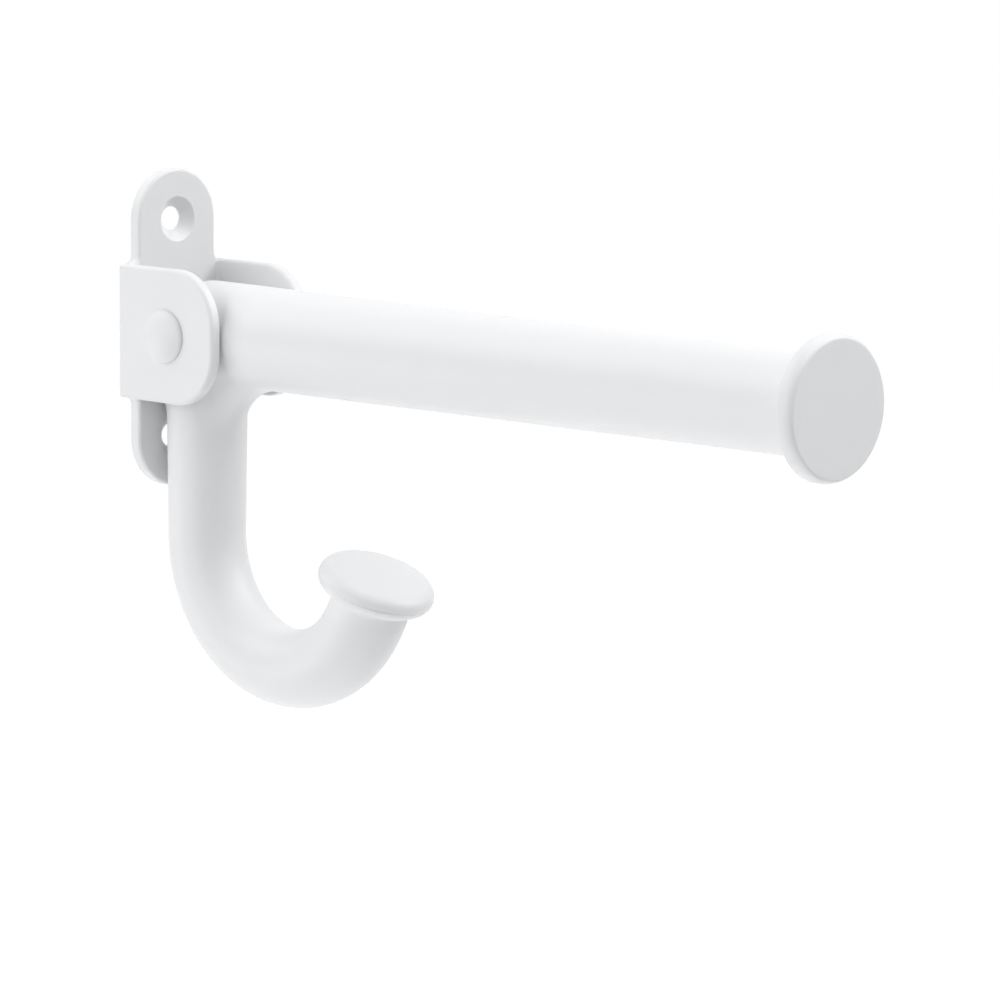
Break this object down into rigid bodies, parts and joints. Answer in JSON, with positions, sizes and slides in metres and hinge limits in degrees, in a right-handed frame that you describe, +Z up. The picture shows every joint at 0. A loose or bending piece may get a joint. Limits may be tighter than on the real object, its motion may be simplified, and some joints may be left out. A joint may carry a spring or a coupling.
{
  "type": "folding extendable wall hook",
  "caption": "White wall hook: a screw-on bracket whose cheeks carry a cast round arm and J-hook that fold up along the wall about a rivet.",
  "frame": {"origin": "centre of the bracket's back face, midway between the two screw holes", "axes": "+Y into the wall, +Z up, +X to the right when facing the wall; the arm points along -Y at rest"},
  "size_m": [0.028, 0.1596, 0.0955],
  "materials": {
    "white_powder_coat": "white powder coat, satin, smooth with a very fine texture"
  },
  "bodies": {
    "bracket": {"wall_bracket": "white_powder_coat", "pivot_rivet": "white_powder_coat"},
    "arm": {"arm_and_hook": "white_powder_coat"}
  },
  "joints": [
    {"name": "arm_fold", "type": "hinge", "parent": "bracket", "child": "arm", "pos_m": [0, -0.0124, 0], "axis": [-1, 0, 0], "range_deg": [0, 90]}
  ]
}
